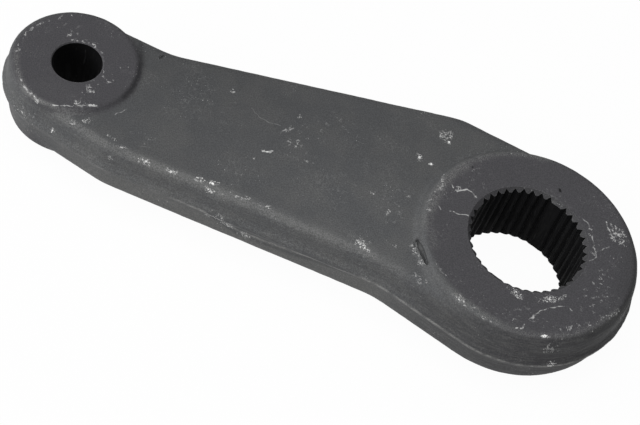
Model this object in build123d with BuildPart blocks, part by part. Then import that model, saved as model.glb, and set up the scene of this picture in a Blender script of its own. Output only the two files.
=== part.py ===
from build123d import *
import math
import os

os.makedirs("parts", exist_ok=True)

# Pitman arm, one steel drop forging. Millimetres, +Z up, lying on its underside.
# Origin: where the axis of the serrated bore meets the underside.

# Centres and heights
arm_length = 148.2
eye_height = 26.9
small_eye_height = 25.4
web_top_height = 24.3
web_underside_height = 2.5
parting_height = 15.4

# Plan outline at the parting plane
big_eye_radius = 35.8
big_eye_offset_x = -0.8
big_eye_offset_y = 0.65
small_eye_radius = 21.1
small_eye_offset_x = 0.85
small_eye_offset_y = -0.5
near_blend_angle = 75.1
near_flank_root = 27.95
near_flank_tip = 25.8
near_tip_setback = 20.1
far_heel_x = 31.4
far_heel_y = 39.1
far_tip_setback = 24.2
far_flank_tip = 19.5
near_root_blend = 37.0
near_tip_blend = 25.0
far_tip_blend = 24.0
far_heel_blend = 25.0
run_in = 0.15

# Draft and edge rounding
upper_draft = 5.3
lower_draft = 6.0
web_top_round = 3.6
web_underside_round = 4.4
big_eye_round = 5.8
big_eye_facing_cut = 1.45
big_eye_underside_round = 9.0
small_eye_round = 3.3
small_eye_facing_cut = 0.7
small_eye_underside_round = 5.0
big_step_blend = 2.2
small_step_blend = 1.6

# Trimmed flash line
flash_width = 1.2
flash_land = 0.7
flash_slope = 32.0

# Serrated bore, wider at the underside where the shaft enters
serration_positions = 40
blind_teeth = 4
blind_tooth_angle = -17.8
root_radius_top = 18.7
root_radius_underside = 19.3
serration_depth = 1.05
tooth_tip_flat = 0.7
bore_bevel_width = 0.36
bore_bevel_depth = 0.31

# Tapered hole of the ball stud, wider at the top where the stud enters
stud_hole_radius = 7.8
stud_taper = 1 / 8
stud_rim_bevel = 0.4

# How far the hole cutters run past the highest and lowest faces
cutter_overrun = 1.0


def tangent_point(corner, centre, radius, side):
    """Point where the line from corner touches the circle; side is +1 or -1."""
    dx = centre[0] - corner[0]
    dy = centre[1] - corner[1]
    distance = math.hypot(dx, dy)
    angle = math.atan2(dy, dx) + side * math.asin(radius / distance)
    reach = math.sqrt(distance**2 - radius**2)
    return (corner[0] + reach * math.cos(angle), corner[1] + reach * math.sin(angle))


# Corners of the web between the two eyes
big_centre = (big_eye_offset_x, big_eye_offset_y)
small_centre = (arm_length + small_eye_offset_x, small_eye_offset_y)
near_tip = (arm_length - near_tip_setback, near_flank_tip)
far_tip = (arm_length - far_tip_setback, -far_flank_tip)
far_heel = (far_heel_x, -far_heel_y)
blend = math.radians(near_blend_angle)
big_arc_radius = big_eye_radius - run_in
small_arc_radius = small_eye_radius - run_in
near_leave = (
    big_centre[0] + big_arc_radius * math.cos(blend),
    big_centre[1] + big_arc_radius * math.sin(blend),
)
flank_slope = (near_flank_tip - near_flank_root) / near_tip[0]
blend_slope = -1 / math.tan(blend)
near_root_x = (near_flank_root - near_leave[1] + blend_slope * near_leave[0]) / (
    blend_slope - flank_slope
)
near_root = (near_root_x, near_flank_root + flank_slope * near_root_x)
near_arrive = tangent_point(near_tip, small_centre, small_arc_radius, 1)
far_leave = tangent_point(far_tip, small_centre, small_arc_radius, -1)
far_arrive = tangent_point(far_heel, big_centre, big_arc_radius, 1)

# Plan outline: two eye arcs joined by the near and far flanks
parting = Plane.XY.offset(parting_height)
with BuildSketch(parting) as plan:
    with BuildLine():
        FilletPolyline(
            near_arrive,
            near_tip,
            near_root,
            near_leave,
            radius=(near_tip_blend, near_root_blend),
        )
        ThreePointArc(
            near_leave,
            (big_centre[0] - big_arc_radius, big_centre[1]),
            far_arrive,
        )
        FilletPolyline(
            far_arrive,
            far_heel,
            far_tip,
            far_leave,
            radius=(far_heel_blend, far_tip_blend),
        )
        ThreePointArc(
            far_leave,
            (small_centre[0] + small_arc_radius, small_centre[1]),
            near_arrive,
        )
    make_face()


def die_half(web_rise, draft, web_round, eyes):
    """One die half, drawn upwards from the parting plane: web, eyes and step blends."""
    with BuildPart() as half:
        extrude(plan.sketch, amount=web_rise, taper=draft)
        fillet(half.edges().group_by(Axis.Z)[-1], web_round)
        for centre, side, radius, rise, facing, eye_round, step_blend in eyes:
            crown = rise + facing
            crown_radius = radius - crown * math.tan(math.radians(draft))
            section = Plane(
                (centre[0], centre[1], parting_height), (side, 0, 0), (0, -side, 0)
            )
            with BuildSketch(section) as profile:
                with BuildLine():
                    Polyline(
                        (0, 0),
                        (radius, 0),
                        (crown_radius, crown),
                        (0, crown),
                        close=True,
                    )
                make_face()
                corner = profile.vertices().group_by(Axis.Y)[-1].sort_by(Axis.X)[-1]
                fillet(corner, eye_round)
                if facing > 0:
                    with Locations((0, rise)):
                        Rectangle(
                            2 * radius,
                            2 * facing,
                            align=(Align.CENTER, Align.MIN),
                            mode=Mode.SUBTRACT,
                        )
            revolve(axis=Axis((centre[0], centre[1], 0), (0, 0, 1)))
            steps = half.edges(Select.NEW).filter_by(
                lambda edge: edge.center().Z > parting_height + 0.01
            )
            fillet(steps, step_blend)
    return half.part


def serrations(root_radius):
    """Corner points of the serrated bore at one height; a blind tooth fills a groove."""
    pitch = 2 * math.pi / serration_positions
    tip_radius = root_radius - serration_depth
    groove_half = pitch / 2 - tooth_tip_flat / 2 / tip_radius
    points = []
    for position in range(serration_positions):
        angle = math.radians(blind_tooth_angle) + position * pitch
        blind = position % (serration_positions // blind_teeth) == 0
        half_width = pitch / 2 if blind else groove_half
        middle_radius = tip_radius if blind else root_radius
        for turn, radius in (
            (angle - half_width, tip_radius),
            (angle, middle_radius),
            (angle + half_width, tip_radius),
        ):
            points.append((radius * math.cos(turn), radius * math.sin(turn)))
    return points


# Upper die half, whose eye tops are faced off flat after forging
big_top = (
    big_centre,
    -1,
    big_eye_radius,
    eye_height - parting_height,
    big_eye_facing_cut,
    big_eye_round,
    big_step_blend,
)
small_top = (
    small_centre,
    1,
    small_eye_radius,
    small_eye_height - parting_height,
    small_eye_facing_cut,
    small_eye_round,
    small_step_blend,
)
upper_half = die_half(
    web_top_height - parting_height, upper_draft, web_top_round, (big_top, small_top)
)

# Lower die half, whose eyes both end in the plane the arm lies on
big_underside = (
    big_centre,
    -1,
    big_eye_radius,
    parting_height,
    0,
    big_eye_underside_round,
    big_step_blend,
)
small_underside = (
    small_centre,
    1,
    small_eye_radius,
    parting_height,
    0,
    small_eye_underside_round,
    small_step_blend,
)
lower_half = die_half(
    parting_height - web_underside_height,
    lower_draft,
    web_underside_round,
    (big_underside, small_underside),
)

# Trimmed flash left standing all round the parting line
flash_rise = 1.3 * flash_width / math.tan(math.radians(flash_slope))
with BuildSketch(parting.offset(flash_land / 2)) as flash_plan:
    add(plan.sketch)
    offset(amount=flash_width)
with BuildPart() as flash:
    extrude(flash_plan.sketch, amount=flash_rise, taper=flash_slope)
    extrude(flash_plan.sketch, amount=-flash_land / 2)
    mirror(about=parting)

# One forging: both halves and the flash, with both holes open right through it
hole_top = max(eye_height, small_eye_height, web_top_height) + cutter_overrun
with BuildPart() as pitman_arm:
    add(upper_half)
    add(mirror(lower_half, about=parting, mode=Mode.PRIVATE))
    add(flash.part)

    # Both eyes are faced down to their own height
    for centre, radius, height in (
        (big_centre, big_eye_radius, eye_height),
        (small_centre, small_eye_radius, small_eye_height),
    ):
        with Locations((*centre, height)):
            Cylinder(
                radius,
                hole_top - height,
                align=(Align.CENTER, Align.CENTER, Align.MIN),
                mode=Mode.SUBTRACT,
            )

    # Tapered serrated bore, cut as a straight-sided loft between its two ends
    for height in (-cutter_overrun, hole_top):
        growth = (root_radius_top - root_radius_underside) * height / eye_height
        with BuildSketch(Plane.XY.offset(height)):
            with BuildLine():
                Polyline(*serrations(root_radius_underside + growth), close=True)
            make_face()
    loft(ruled=True, mode=Mode.SUBTRACT)

    # Bevels at both mouths of the serrated bore, cut through the ends of the teeth
    bevel_slope = bore_bevel_depth / bore_bevel_width
    for height, root_radius, way_out, reach in (
        (eye_height, root_radius_top, 1, hole_top - eye_height),
        (0, root_radius_underside, -1, cutter_overrun),
    ):
        mouth_radius = root_radius + bore_bevel_width
        mouth = Plane((0, 0, height + way_out * reach), (1, 0, 0), (0, 0, way_out))
        with Locations(mouth):
            Cone(
                0,
                mouth_radius + reach / bevel_slope,
                mouth_radius * bevel_slope + reach,
                align=(Align.CENTER, Align.CENTER, Align.MAX),
                mode=Mode.SUBTRACT,
            )

    # Tapered hole of the ball stud
    with Locations((arm_length, 0, -cutter_overrun)):
        Cone(
            stud_hole_radius - (small_eye_height + cutter_overrun) * stud_taper / 2,
            stud_hole_radius + (hole_top - small_eye_height) * stud_taper / 2,
            hole_top + cutter_overrun,
            align=(Align.CENTER, Align.CENTER, Align.MIN),
            mode=Mode.SUBTRACT,
        )
    rims = pitman_arm.edges(Select.LAST).filter_by(GeomType.CIRCLE)
    chamfer(rims, stud_rim_bevel)

pitman_arm.part.label = "pitman_arm"
export_step(pitman_arm.part, "parts/pitman_arm.step")
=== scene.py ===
import logging
import math
from dataclasses import dataclass, field
from enum import Enum
from typing import Callable

import bmesh
import bpy
import numpy as np
from mathutils import Matrix, Vector


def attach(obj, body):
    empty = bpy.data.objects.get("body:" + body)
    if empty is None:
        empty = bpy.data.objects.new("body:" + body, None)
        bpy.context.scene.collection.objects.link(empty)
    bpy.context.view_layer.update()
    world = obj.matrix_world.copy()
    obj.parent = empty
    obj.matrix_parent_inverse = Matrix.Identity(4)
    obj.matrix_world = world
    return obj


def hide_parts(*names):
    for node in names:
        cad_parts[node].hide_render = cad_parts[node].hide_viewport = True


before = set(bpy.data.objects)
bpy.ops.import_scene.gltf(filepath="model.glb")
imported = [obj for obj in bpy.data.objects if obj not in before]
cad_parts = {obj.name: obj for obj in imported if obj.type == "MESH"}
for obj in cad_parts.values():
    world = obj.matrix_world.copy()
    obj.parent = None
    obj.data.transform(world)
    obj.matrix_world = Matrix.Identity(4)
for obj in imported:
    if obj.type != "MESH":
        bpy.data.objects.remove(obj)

MM = 0.001
LOG = logging.getLogger("pitman_arm")

Socket = bpy.types.NodeSocket
Colour = tuple[float, float, float, float]
Place = tuple[float, float, float]


class Wear(Enum):
    """How a marked place looks: worn, light grey with painted highlight, or in painted shade."""

    CHIPPED = "chipped"
    # Dust, together with painted highlight on rims and rounded edges.
    DUST_AND_HIGHLIGHT = "dust_and_highlight"
    SCRATCHED = "scratched"
    # Painted shade in the gouge's slot, in pits and in creases.
    PAINTED_SHADE = "painted_shade"


@dataclass(frozen=True)
class WornPatch:
    """A patch where the dark coat is rubbed or chipped through, in millimetres.

    Args:
        x: Centre along the arm.
        y: Centre across the arm.
        z: Centre height.
        length: Half length of the patch.
        width: Half width of the patch.
        turn: Angle of its long side from +X, in degrees.
        strength: How much of the coat is gone. From 0.95 up, the bare metal is painted near-white, a
            painted highlight.
        wear: Chipped to bright metal, or a light grey film that is partly painted highlight.
    """

    x: float
    y: float
    z: float
    length: float
    width: float
    turn: float = 0.0
    strength: float = 1.0
    wear: Wear = Wear.CHIPPED


@dataclass(frozen=True)
class WornLine:
    """A worn line, or a line of painted shade, along a few points, in millimetres.

    Args:
        points: Places that the line runs through.
        width: Half width of the line.
        strength: How much of the coat is gone. Above 1, the line's edges are sharper.
        wear: How the line looks.
    """

    points: tuple[Place, ...]
    width: float = 0.2
    strength: float = 0.8
    wear: Wear = Wear.SCRATCHED


@dataclass(frozen=True)
class Dent:
    """A rounded dent in the forging, in millimetres.

    Args:
        place: Its middle.
        size: Half its length, width and depth.
        turn: Angle of its long side from +X, in degrees.
    """

    place: Place
    size: Place
    turn: float


def deselect_all() -> None:
    """Clears the selection, so that an operator acts only on what is picked next."""
    if bpy.context.mode != "OBJECT":
        bpy.ops.object.mode_set(mode="OBJECT")
    bpy.ops.object.select_all(action="DESELECT")


def pick(piece: bpy.types.Object) -> None:
    """Selects one object alone and makes it active."""
    deselect_all()
    piece.select_set(True)
    bpy.context.view_layer.objects.active = piece


def apply_modifier(piece: bpy.types.Object, modifier: bpy.types.Modifier) -> None:
    """Applies one modifier to the mesh of its object."""
    pick(piece)
    bpy.ops.object.modifier_apply(modifier=modifier.name)


def apply_place(piece: bpy.types.Object) -> None:
    """Moves an object's place, turn and scale into its mesh."""
    pick(piece)
    bpy.ops.object.transform_apply(location=True, rotation=True, scale=True)


def close_outwards() -> None:
    """Turns all faces of the shape in edit mode outwards and leaves edit mode."""
    bpy.ops.mesh.select_all(action="SELECT")
    bpy.ops.mesh.normals_make_consistent(inside=False)
    bpy.ops.object.mode_set(mode="OBJECT")


def raise_up(height: float) -> None:
    """Extrudes what is selected in edit mode straight up by a height in millimetres."""
    bpy.ops.mesh.extrude_region_move(TRANSFORM_OT_translate={"value": (0.0, 0.0, height * MM)})


def carve(piece: bpy.types.Object, cutter: bpy.types.Object) -> None:
    """Cuts one closed shape out of a piece and deletes the shape.

    Args:
        piece: The piece that is cut.
        cutter: The closed shape, used up by the cut.
    """
    cut = piece.modifiers.new("cut", "BOOLEAN")
    cut.operation = "DIFFERENCE"
    cut.solver = "EXACT"
    cut.object = cutter
    apply_modifier(piece, cut)
    mesh = cutter.data
    bpy.data.objects.remove(cutter)
    bpy.data.meshes.remove(mesh)


class NodeSheet:
    """A material's node tree, with short calls for the nodes that finishes use."""

    def __init__(self, name: str) -> None:
        """Starts an empty material with its shader and output."""
        self.material = bpy.data.materials.new(name)
        self.material.use_nodes = True
        self.nodes = self.material.node_tree.nodes
        self.links = self.material.node_tree.links
        self.nodes.clear()
        self.shader = self.nodes.new("ShaderNodeBsdfPrincipled")
        self.output = self.nodes.new("ShaderNodeOutputMaterial")
        self.links.new(self.shader.outputs["BSDF"], self.output.inputs["Surface"])
        self.place = self.nodes.new("ShaderNodeTexCoord").outputs["Object"]

    def put(self, socket: Socket, value: object) -> None:
        """Links a socket into another, or sets a plain value on it."""
        if isinstance(value, Socket):
            self.links.new(value, socket)
        else:
            socket.default_value = value

    def math(self, operation: str, first: object, second: object = 0.0) -> Socket:
        """A Math node.

        Args:
            operation: The node's operation.
            first: First value or socket.
            second: Second value or socket.

        Returns:
            The result's socket.
        """
        node = self.nodes.new("ShaderNodeMath")
        node.operation = operation
        self.put(node.inputs[0], first)
        self.put(node.inputs[1], second)
        return node.outputs[0]

    def product(self, first: object, *others: object) -> Socket:
        """Multiplies values or sockets in their order."""
        for other in others:
            first = self.math("MULTIPLY", first, other)
        return first

    def strongest(self, *masks: Socket) -> Socket:
        """The largest of several masks."""
        result = masks[0]
        for mask in masks[1:]:
            result = self.math("MAXIMUM", result, mask)
        return result

    def ramp(
        self, value: object, low: float, high: float, out_low: float = 0.0, out_high: float = 1.0
    ) -> Socket:
        """Maps a value smoothly from one range to another.

        Args:
            value: The value or socket.
            low: Input that gives out_low.
            high: Input that gives out_high.
            out_low: Result at low.
            out_high: Result at high.

        Returns:
            The result's socket.
        """
        node = self.nodes.new("ShaderNodeMapRange")
        node.interpolation_type = "SMOOTHSTEP"
        for socket, number in zip(node.inputs, (value, low, high, out_low, out_high)):
            self.put(socket, number)
        return node.outputs[0]

    def noise(
        self, scale: float, detail: float, roughness: float, place: Socket | None = None
    ) -> Socket:
        """A 3-D noise.

        Args:
            scale: Repeats per metre.
            detail: Number of finer octaves.
            roughness: Weight of the finer octaves.
            place: Coordinates, or the object's own where none are given.

        Returns:
            The noise value's socket.
        """
        node = self.nodes.new("ShaderNodeTexNoise")
        self.put(node.inputs["Vector"], place or self.place)
        node.inputs["Scale"].default_value = scale
        node.inputs["Detail"].default_value = detail
        node.inputs["Roughness"].default_value = roughness
        return node.outputs["Fac"]

    def vector(self, operation: str, first: object, second: object) -> bpy.types.Node:
        """A Vector Math node, returned whole because it has two outputs."""
        node = self.nodes.new("ShaderNodeVectorMath")
        node.operation = operation
        self.put(node.inputs[0], first)
        self.put(node.inputs[1], second)
        return node

    def split(self, vector: Socket) -> tuple[Socket, ...]:
        """The X, Y and Z of a vector."""
        node = self.nodes.new("ShaderNodeSeparateXYZ")
        self.put(node.inputs[0], vector)
        return tuple(node.outputs)

    def stretched(self, x: float, y: float, z: float) -> Socket:
        """The object's coordinates, each scaled by its own factor."""
        return self.vector("MULTIPLY", self.place, (x, y, z)).outputs["Vector"]

    def painted(self, wear: Wear) -> Socket:
        """The value that was painted on the piece's points for a kind of wear."""
        node = self.nodes.new("ShaderNodeAttribute")
        node.attribute_name = wear.value
        return node.outputs["Fac"]

    def blend(self, share: object, first: object, second: object) -> Socket:
        """Mixes two colours.

        Args:
            share: How much of the second colour shows.
            first: First colour or socket.
            second: Second colour or socket.

        Returns:
            The mixed colour's socket.
        """
        node = self.nodes.new("ShaderNodeMix")
        node.data_type = "RGBA"
        self.put(node.inputs["Factor"], share)
        self.put(node.inputs["A"], first)
        self.put(node.inputs["B"], second)
        return node.outputs["Result"]

    def toned(self, colour: Socket, factor: Socket) -> Socket:
        """Multiplies a colour by a factor."""
        node = self.nodes.new("ShaderNodeMix")
        node.data_type = "RGBA"
        node.blend_type = "MULTIPLY"
        node.inputs["Factor"].default_value = 1.0
        self.put(node.inputs["A"], colour)
        self.put(node.inputs["B"], factor)
        return node.outputs["Result"]

    def evenness(self, radius: float) -> Socket:
        """How little the surface bends within a radius in millimetres, 1 away from any edge."""
        bevel = self.nodes.new("ShaderNodeBevel")
        bevel.samples = 6
        bevel.inputs["Radius"].default_value = radius * MM
        geometry = self.nodes.new("ShaderNodeNewGeometry")
        match = self.vector("DOT_PRODUCT", bevel.outputs["Normal"], geometry.outputs["Normal"])
        return match.outputs["Value"]


class ForgingSheet(NodeSheet):
    """The forging's node tree, with the places and noises that its marks share."""

    def __init__(self, name: str) -> None:
        """Starts the material and makes what its marks share."""
        super().__init__(name)
        geometry = self.nodes.new("ShaderNodeNewGeometry")
        self.x, self.y, self.z = self.split(self.place)
        self.up = self.split(geometry.outputs["Normal"])[2]
        self.side = self.ramp(self.up, 0.85, 0.45)
        self.cloud = self.noise(95.0, 5.0, 0.6)
        self.grain = self.noise(2600.0, 2.0, 0.6)
        self.fine = self.noise(3600.0, 2.0, 0.7)
        self.flakes = self.noise(1900.0, 3.0, 0.7)
        self.broken = self.noise(640.0, 1.0, 0.5)
        streaks = self.noise(1400.0, 3.0, 0.6, self.stretched(0.12, 0.12, 1.0))
        self.streaks = self.product(self.ramp(streaks, 0.42, 0.68), self.side)
        self.chipped = self.painted(Wear.CHIPPED)

    def along(self, low: float, high: float, out_low: float = 0.0, out_high: float = 1.0) -> Socket:
        """A ramp between two places along the arm, in millimetres."""
        return self.ramp(self.x, low * MM, high * MM, out_low, out_high)

    def across(self, low: float, high: float, out_low: float = 0.0, out_high: float = 1.0) -> Socket:
        """A ramp between two places across the arm, in millimetres."""
        return self.ramp(self.y, low * MM, high * MM, out_low, out_high)

    def around(self, x: float, outer: float, inner: float) -> Socket:
        """Mask that is 1 near the axis of a bore.

        Args:
            x: Place of the axis along the arm, in millimetres.
            outer: Distance where the mask is 0.
            inner: Distance where it reaches 1.

        Returns:
            The mask's socket.
        """
        off = self.math("SUBTRACT", self.x, x * MM)
        squares = self.math("ADD", self.product(off, off), self.product(self.y, self.y))
        return self.ramp(self.math("SQRT", squares), outer * MM, inner * MM)

    def hairlines(self, scale: float, squeeze: float) -> Socket:
        """Thin crossing lines, such as light knocks leave on the coat.

        Args:
            scale: Repeats per metre.
            squeeze: How much closer the lines lie across the arm.

        Returns:
            The mask's socket, 1 on a line.
        """
        wander = self.noise(scale, 1.5, 0.55, self.stretched(1.0, squeeze, 1.0))
        fold = self.math("ABSOLUTE", self.math("SUBTRACT", wander, 0.5))
        return self.ramp(fold, 0.034, 0.008)


@dataclass(frozen=True)
class PhosphatedForging:
    """Dull dark grey phosphate coat on a steel forging, rubbed bright at its edges, with painted
    shade and painted highlight added to its colour.

    Its worn places are painted on the piece by WearPainter. Lengths are in millimetres.
    """

    forged: Colour = (0.075, 0.077, 0.080, 1.0)
    forged_light: Colour = (0.087, 0.088, 0.089, 1.0)
    machined: Colour = (0.064, 0.0628, 0.068, 1.0)
    reamed: Colour = (0.060, 0.0588, 0.064, 1.0)
    # Painted shade grey, for the big eye's end and flanks and the line under the flash ridge.
    painted_shade_grey: Colour = (0.043, 0.043, 0.045, 1.0)
    # Light grey of the streaks on the sides, also used as painted light on the lower flank.
    streak_and_foot_light: Colour = (0.125, 0.125, 0.122, 1.0)
    # Trim line's lighter metal, lightened further as painted highlight.
    trim_and_highlight: Colour = (0.19, 0.19, 0.185, 1.0)
    bare: Colour = (0.70, 0.70, 0.69, 1.0)
    # Painted highlight: near-white glint of bare metal.
    painted_glint_white: Colour = (0.96, 0.96, 0.95, 1.0)
    # Light grey of dust, also used for painted highlight on rims and rounded edges.
    dust_and_highlight_grey: Colour = (0.20, 0.20, 0.195, 1.0)
    # Near-black painted shade.
    painted_shade_black: Colour = (0.010, 0.010, 0.011, 1.0)
    small_eye_place: float = 148.2
    parting_height: float = 15.4
    flash_dip: float = 4.4
    rubbed_edge: float = 0.45
    gloss: float = 0.22
    bump_strength: float = 0.45
    bump_depth: float = 0.35

    def coat(self, sheet: ForgingSheet) -> Socket:
        """Cloudy forging skin, darker round the eyes, with painted shade: the far side of the arm
        darker than the near side, and the big eye's end and flanks darkest.
        """
        skin = sheet.blend(sheet.ramp(sheet.cloud, 0.35, 0.68), self.forged, self.forged_light)
        # Painted shade and light: the far side of the arm is darkened and the near side lightened a
        # little.
        skin = sheet.toned(skin, sheet.across(-24.0, 16.0, 0.86, 1.02))
        top = sheet.math("SUBTRACT", 1.0, sheet.side)
        # Top faces are a little lighter towards the big eye and darker towards the small eye.
        top_tone = sheet.product(sheet.along(45.0, 125.0, 0.09, -0.06), top)
        skin = sheet.toned(skin, sheet.math("ADD", top_tone, 1.0))
        # The big eye's face and its whole far end, flanks too, take the darker machined colour.
        big_eye = sheet.strongest(sheet.around(0.0, 32.8, 30.6), sheet.along(12.0, -12.0))
        colour = sheet.blend(big_eye, skin, self.machined)
        small_eye = sheet.around(self.small_eye_place, 21.0, 18.6)
        colour = sheet.blend(small_eye, colour, self.reamed)
        # Painted shade: the far end of the big eye is darkened.
        colour = sheet.blend(sheet.along(-25.0, -36.0, 0.0, 0.6), colour, self.painted_shade_grey)
        # Painted shade: the sides near the big eye's end and below the web's step are darkened, most
        # towards the end.
        below_step = sheet.ramp(sheet.z, 24.6 * MM, 22.0 * MM)
        low = sheet.strongest(below_step, sheet.along(24.0, 6.0))
        end = sheet.product(sheet.along(48.0, 8.0, 0.0, 0.7), low)
        end = sheet.math("ADD", end, sheet.along(-18.0, -34.0, 0.0, 0.5))
        shoulder = sheet.ramp(sheet.up, 0.97, 0.75)
        colour = sheet.blend(sheet.product(end, shoulder), colour, self.painted_shade_grey)
        return sheet.blend(sheet.product(sheet.streaks, 0.34), colour, self.streak_and_foot_light)

    def flash(self, sheet: ForgingSheet, colour: Socket) -> Socket:
        """Adds the flash where the trim cut: a thin light ridge that dips along the near flank,
        lightened by painted highlight.

        Args:
            sheet: The forging's node tree.
            colour: The colour so far.

        Returns:
            The colour with the ridge and its painted highlight, a painted shade line under it and
            painted light on the flank below.
        """
        dip = sheet.math(
            "SUBTRACT",
            sheet.along(95.0, 82.0, 0.0, self.flash_dip * MM),
            sheet.along(78.0, 38.0, 0.0, self.flash_dip * MM),
        )
        dip = sheet.product(dip, sheet.across(0.0, 10.0))
        height = sheet.math("SUBTRACT", sheet.z, self.parting_height * MM)
        off_ridge = sheet.math("ADD", height, dip)
        # The ridge: the trim's lighter metal with painted highlight on it.
        ridge = sheet.product(
            sheet.ramp(sheet.math("ABSOLUTE", off_ridge), 0.8 * MM, 0.25 * MM),
            sheet.ramp(sheet.noise(320.0, 3.0, 0.6), 0.36, 0.60, 0.3, 1.0),
            sheet.along(92.0, 116.0, 1.0, 0.28),
            sheet.side,
        )
        # Painted shade: a dull line just under the ridge.
        below = sheet.product(
            sheet.ramp(off_ridge, -0.7 * MM, -1.5 * MM),
            sheet.ramp(off_ridge, -3.4 * MM, -1.7 * MM, 0.0, 0.3),
            sheet.side,
        )
        # Painted light: the lower flank below the ridge is lightened.
        foot = sheet.product(
            sheet.ramp(off_ridge, -1.6 * MM, -3.4 * MM, 0.0, 0.6),
            sheet.along(20.0, 45.0, 0.1, 1.0),
            sheet.along(152.0, 126.0),
            sheet.side,
        )
        colour = sheet.blend(below, colour, self.painted_shade_grey)
        colour = sheet.blend(foot, colour, self.streak_and_foot_light)
        return sheet.blend(ridge, colour, self.trim_and_highlight)

    def painted_edge_highlight(self, sheet: ForgingSheet, colour: Socket) -> Socket:
        """Paints the rounded edge between the web's top and its near flank lighter: a painted
        highlight, broken up by the grain.

        Args:
            sheet: The forging's node tree.
            colour: The colour so far.

        Returns:
            The colour with the painted highlight.
        """
        # Painted highlight on the rounded edge, picked by how the faces are turned.
        highlight_band = sheet.product(
            sheet.ramp(sheet.up, 0.995, 0.93),
            sheet.ramp(sheet.up, 0.40, 0.72),
            sheet.across(14.0, 19.0, 0.0, 0.22),
            sheet.along(22.0, 48.0),
            sheet.ramp(sheet.grain, 0.36, 0.6, 0.5, 1.4),
        )
        return sheet.blend(highlight_band, colour, self.dust_and_highlight_grey)

    def grained(self, sheet: ForgingSheet, colour: Socket) -> Socket:
        """Lightens and darkens the coat point by point, most on the as-forged sides."""
        grit = sheet.ramp(sheet.noise(2000.0, 2.0, 0.6), 0.3, 0.7, 0.83, 1.17)
        grit = sheet.product(sheet.math("SUBTRACT", grit, 1.0), sheet.side)
        colour = sheet.toned(colour, sheet.math("ADD", grit, 1.0))
        return sheet.toned(colour, sheet.ramp(sheet.grain, 0.3, 0.72, 0.74, 1.26))

    def specks(self, sheet: ForgingSheet) -> Socket:
        """Loose bright specks and faint scuffs that drift over the whole piece."""
        drift = sheet.ramp(sheet.noise(75.0, 2.0, 0.5), 0.48, 0.70)
        dots = sheet.ramp(sheet.noise(2100.0, 1.0, 0.4), 0.71, 0.77, 0.0, 0.55)
        dots = sheet.product(dots, drift)
        gaps = sheet.ramp(sheet.fine, 0.4, 0.6, 0.0, 0.07)
        scuffs = sheet.product(sheet.hairlines(330.0, 1.2), drift, gaps)
        return sheet.strongest(dots, scuffs)

    def chips(self, sheet: ForgingSheet) -> Socket:
        """Flakes of bare metal, the more of them the more worn the place is."""
        limit = sheet.math("ADD", sheet.product(sheet.chipped, -0.31), 0.77)
        return sheet.ramp(sheet.math("SUBTRACT", sheet.flakes, limit), 0.0, 0.09)

    def scribble(self, sheet: ForgingSheet) -> Socket:
        """Broken hairlines between the chips of a worn place."""
        stop = sheet.math("ADD", sheet.product(sheet.chipped, -0.24), 0.64)
        return sheet.product(
            sheet.strongest(sheet.hairlines(600.0, 1.0), sheet.hairlines(880.0, 1.3)),
            sheet.ramp(sheet.math("SUBTRACT", sheet.broken, stop), 0.0, 0.05),
            sheet.ramp(sheet.flakes, 0.36, 0.6, 0.3, 1.0),
            sheet.ramp(sheet.chipped, 0.04, 0.30, 0.0, 0.66),
        )

    def scratches(self, sheet: ForgingSheet) -> Socket:
        """The painted scratches, thinned out here and there."""
        return sheet.product(
            sheet.ramp(sheet.painted(Wear.SCRATCHED), 0.22, 0.86, 0.0, 0.74),
            sheet.ramp(sheet.broken, 0.38, 0.50, 0.2, 1.0),
            sheet.ramp(sheet.flakes, 0.36, 0.56, 0.4, 1.0),
        )

    def rubbed_edges(self, sheet: ForgingSheet) -> Socket:
        """Edges rubbed by handling."""
        edge = sheet.ramp(sheet.evenness(self.rubbed_edge), 0.985, 0.86)
        return sheet.product(edge, sheet.ramp(sheet.flakes, 0.45, 0.62), 0.27)

    def relief(self, sheet: ForgingSheet, bright: Socket) -> Socket:
        """Skin of the forging in relief.

        Args:
            sheet: The forging's node tree.
            bright: Where bare metal shows, which lies a little lower.

        Returns:
            The bumped normal.
        """
        height = sheet.product(sheet.cloud, 0.9)
        height = sheet.math("ADD", height, sheet.product(sheet.grain, 0.09))
        height = sheet.math("ADD", height, sheet.product(sheet.streaks, 0.10))
        height = sheet.math("SUBTRACT", height, sheet.product(bright, 0.12))
        bump = sheet.nodes.new("ShaderNodeBump")
        bump.inputs["Strength"].default_value = self.bump_strength
        bump.inputs["Distance"].default_value = self.bump_depth * MM
        sheet.put(bump.inputs["Height"], height)
        return bump.outputs["Normal"]

    def material(self) -> bpy.types.Material:
        """Builds the finish.

        Returns:
            The procedural material.
        """
        sheet = ForgingSheet("phosphated_forging")
        colour = self.coat(sheet)
        colour = self.flash(sheet, colour)
        colour = self.painted_edge_highlight(sheet, colour)
        colour = self.grained(sheet, colour)

        # Light grey film: partly dust, partly painted highlight on rims and rounded edges.
        dust_and_highlight = sheet.product(sheet.painted(Wear.DUST_AND_HIGHLIGHT), sheet.ramp(sheet.fine, 0.42, 0.66))
        colour = sheet.blend(dust_and_highlight, colour, self.dust_and_highlight_grey)
        # Painted shade: near-black in the gouge's slot, pits and the crease at the small eye's foot.
        uneven = sheet.ramp(sheet.grain, 0.2, 0.6, 0.85, 1.0)
        dark = sheet.product(sheet.painted(Wear.PAINTED_SHADE), uneven)
        colour = sheet.blend(dark, colour, self.painted_shade_black)

        chips = self.chips(sheet)
        bright = sheet.strongest(
            chips,
            self.scribble(sheet),
            self.scratches(sheet),
            self.rubbed_edges(sheet),
            self.specks(sheet),
        )
        colour = sheet.blend(bright, colour, self.bare)
        # Painted highlight: the strongest chips are turned near-white.
        painted_glint_share = sheet.product(chips, sheet.ramp(sheet.chipped, 0.95, 1.2))
        colour = sheet.blend(painted_glint_share, colour, self.painted_glint_white)
        sheet.put(sheet.shader.inputs["Base Color"], colour)

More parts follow.
